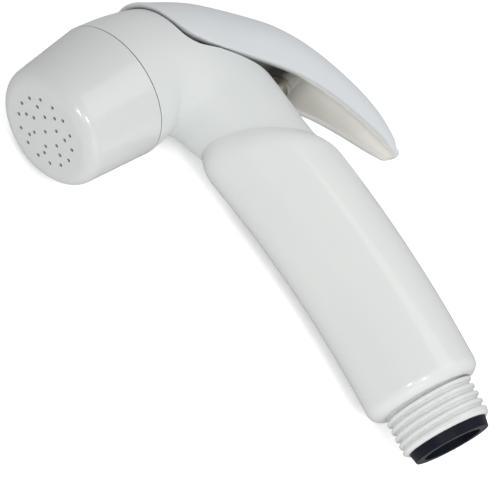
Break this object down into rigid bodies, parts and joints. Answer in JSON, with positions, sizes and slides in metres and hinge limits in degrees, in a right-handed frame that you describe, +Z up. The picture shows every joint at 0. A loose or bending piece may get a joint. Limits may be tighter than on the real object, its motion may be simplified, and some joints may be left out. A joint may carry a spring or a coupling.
{
  "type": "shower head",
  "caption": "White hand shower head with a cranked head, a perforated spray face, a thumb lever on its back and a threaded hose inlet with a black collar, lying on its side.",
  "frame": {"origin": "centre of the inlet's end face, which is the front face of the black collar, on the axis of the hose thread", "axes": "+X along the hose thread towards the hose, +Y towards the lever's side so that the spray face points to about -Y, +Z up with the head lying on its side; z = 0 is the plane of symmetry"},
  "size_m": [0.1192, 0.0832, 0.0316],
  "materials": {
    "white_shell": "glossy",
    "white_moulding": "satin",
    "collar_black": "satin",
    "seal_rubber": "matt",
    "grey_moulding": "satin",
    "brass": "turned",
    "steel": "drawn"
  },
  "bodies": {
    "shower_head": {"handle": "white_shell", "head_body": "white_shell", "nozzle_cap": "white_shell", "lever_pin": "steel", "cap_seal": "seal_rubber", "diffuser_plate": "white_moulding", "valve_block": "white_moulding", "block_seal": "seal_rubber", "gland_nut": "brass", "gland_packing": "white_moulding", "stem_seal": "seal_rubber", "valve_plug": "white_moulding", "plug_seal": "seal_rubber", "valve_spring": "steel", "water_tube": "grey_moulding", "tube_seal_front": "seal_rubber", "tube_seal_rear": "seal_rubber", "inlet_collar": "collar_black", "collar_seal": "seal_rubber", "inlet_strainer": "steel", "check_guide": "grey_moulding", "check_spring": "steel"},
    "lever": {"lever": "white_shell"},
    "stem": {"valve_stem": "brass", "valve_disc": "seal_rubber", "disc_clip": "steel"},
    "poppet": {"check_poppet": "grey_moulding", "poppet_seal": "seal_rubber"}
  },
  "joints": [
    {"name": "lever_hinge", "type": "hinge", "parent": "shower_head", "child": "lever", "pos_m": [-0.10681, -0.0052, 0], "axis": [0, 0, -1], "range_deg": [0, 6], "stiffness_Nm_per_rad": 1, "springref_deg": -5.73},
    {"name": "stem_slide", "type": "slide", "parent": "shower_head", "child": "stem", "axis": [0.2756, -0.9613, 0], "range_m": [0, 0.0021], "stiffness_N_per_m": 10, "springref_m": -0.002, "deforming": ["valve_spring"]},
    {"name": "poppet_slide", "type": "slide", "parent": "shower_head", "child": "poppet", "axis": [-1, 0, 0], "range_m": [0, 0.0018], "stiffness_N_per_m": 100, "springref_m": -0.003, "deforming": ["check_spring"]}
  ],
  "couplings": [
    {"joint": "stem_slide", "follows": "lever_hinge", "m_per_rad": 0.01867}
  ]
}
